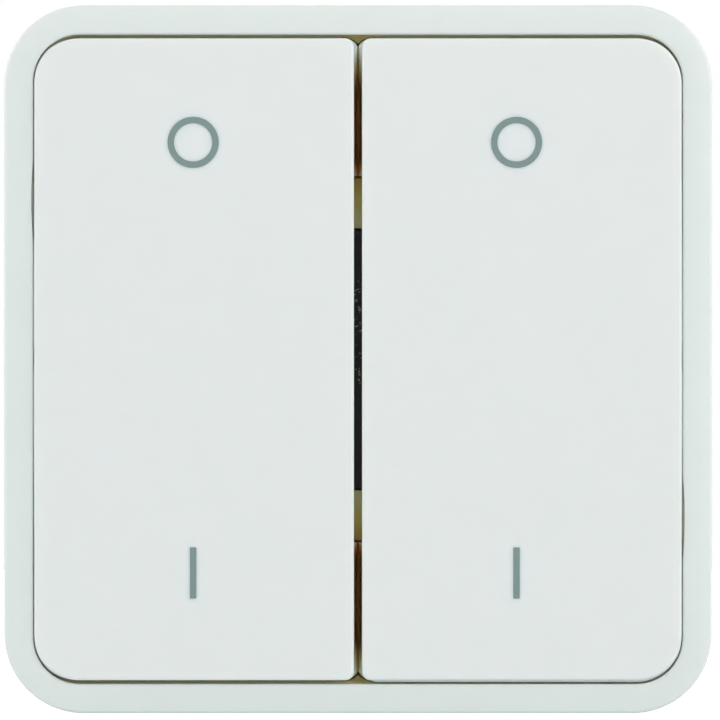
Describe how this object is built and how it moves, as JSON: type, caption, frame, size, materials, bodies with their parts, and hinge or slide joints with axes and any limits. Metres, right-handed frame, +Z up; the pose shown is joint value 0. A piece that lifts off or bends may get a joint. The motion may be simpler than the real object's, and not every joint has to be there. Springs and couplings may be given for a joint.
{
  "type": "rocker push button",
  "caption": "Square white wall push button with side-by-side centre-return rockers in a gently crowned surround, on a clip-in carrier with a switching mechanism and push-in terminals behind.",
  "frame": {"origin": "centre of the surround's rear rim, the plane that seats on the enclosure", "axes": "+X right and +Z up as installed, seen from the front; +Y into the wall, so the front faces -Y"},
  "size_m": [0.066, 0.0304, 0.066],
  "materials": {
    "surround_white": "fine satin moulded white plastic",
    "rocker_white": "smooth satin white plastic",
    "carrier_ivory": "plain moulded ivory plastic",
    "seal_rubber": "matt soft rubber",
    "mechanism_black": "matt black moulded plastic",
    "terminal_grey": "matt grey moulded plastic",
    "screw_steel": "zinc-plated steel",
    "contact_brass": "stamped brass strip",
    "spring_steel": "drawn spring steel",
    "plunger_white": "smooth acetal",
    "print_grey": "pad-printed grey-green ink"
  },
  "bodies": {
    "base": {"surround_frame": "surround_white", "rocker_carrier": "carrier_ivory", "seal_ring": "seal_rubber", "mechanism_housing": "mechanism_black", "terminal_base": "terminal_grey", "assembly_screws": "screw_steel", "common_busbar": "contact_brass", "return_spring_left_off": "spring_steel", "return_spring_left_on": "spring_steel", "return_spring_right_off": "spring_steel", "return_spring_right_on": "spring_steel", "switched_contact_left_off": "contact_brass", "switched_contact_left_on": "contact_brass", "switched_contact_right_off": "contact_brass", "switched_contact_right_on": "contact_brass", "terminal_clamp_left_off": "spring_steel", "terminal_clamp_left_on": "spring_steel", "terminal_clamp_right_off": "spring_steel", "terminal_clamp_right_on": "spring_steel", "terminal_clamp_common": "spring_steel"},
    "rocker_left": {"rocker_left": "rocker_white"},
    "rocker_right": {"rocker_right": "rocker_white"},
    "plunger_left_off": {"plunger_left_off": "plunger_white", "contact_bridge_left_off": "contact_brass"},
    "plunger_left_on": {"plunger_left_on": "plunger_white", "contact_bridge_left_on": "contact_brass"},
    "plunger_right_off": {"plunger_right_off": "plunger_white", "contact_bridge_right_off": "contact_brass"},
    "plunger_right_on": {"plunger_right_on": "plunger_white", "contact_bridge_right_on": "contact_brass"}
  },
  "joints": [
    {"name": "rocker_left_tilt", "type": "hinge", "parent": "base", "child": "rocker_left", "pos_m": [-0.01526, -0.0052, 0], "axis": [1, 0, 0], "range_deg": [-3, 3], "stiffness_Nm_per_rad": 1},
    {"name": "rocker_right_tilt", "type": "hinge", "parent": "base", "child": "rocker_right", "pos_m": [0.01526, -0.0052, 0], "axis": [1, 0, 0], "range_deg": [-3, 3], "stiffness_Nm_per_rad": 1},
    {"name": "plunger_left_off_slide", "type": "slide", "parent": "base", "child": "plunger_left_off", "axis": [0, 1, 0], "range_m": [-0.00074, 0.00074], "deforming": ["return_spring_left_off"]},
    {"name": "plunger_left_on_slide", "type": "slide", "parent": "base", "child": "plunger_left_on", "axis": [0, 1, 0], "range_m": [-0.00074, 0.00074], "deforming": ["return_spring_left_on"]},
    {"name": "plunger_right_off_slide", "type": "slide", "parent": "base", "child": "plunger_right_off", "axis": [0, 1, 0], "range_m": [-0.00074, 0.00074], "deforming": ["return_spring_right_off"]},
    {"name": "plunger_right_on_slide", "type": "slide", "parent": "base", "child": "plunger_right_on", "axis": [0, 1, 0], "range_m": [-0.00074, 0.00074], "deforming": ["return_spring_right_on"]}
  ],
  "couplings": [
    {"joint": "plunger_left_off_slide", "follows": "rocker_left_tilt", "m_per_rad": -0.014},
    {"joint": "plunger_left_on_slide", "follows": "rocker_left_tilt", "m_per_rad": 0.014},
    {"joint": "plunger_right_off_slide", "follows": "rocker_right_tilt", "m_per_rad": -0.014},
    {"joint": "plunger_right_on_slide", "follows": "rocker_right_tilt", "m_per_rad": 0.014}
  ]
}
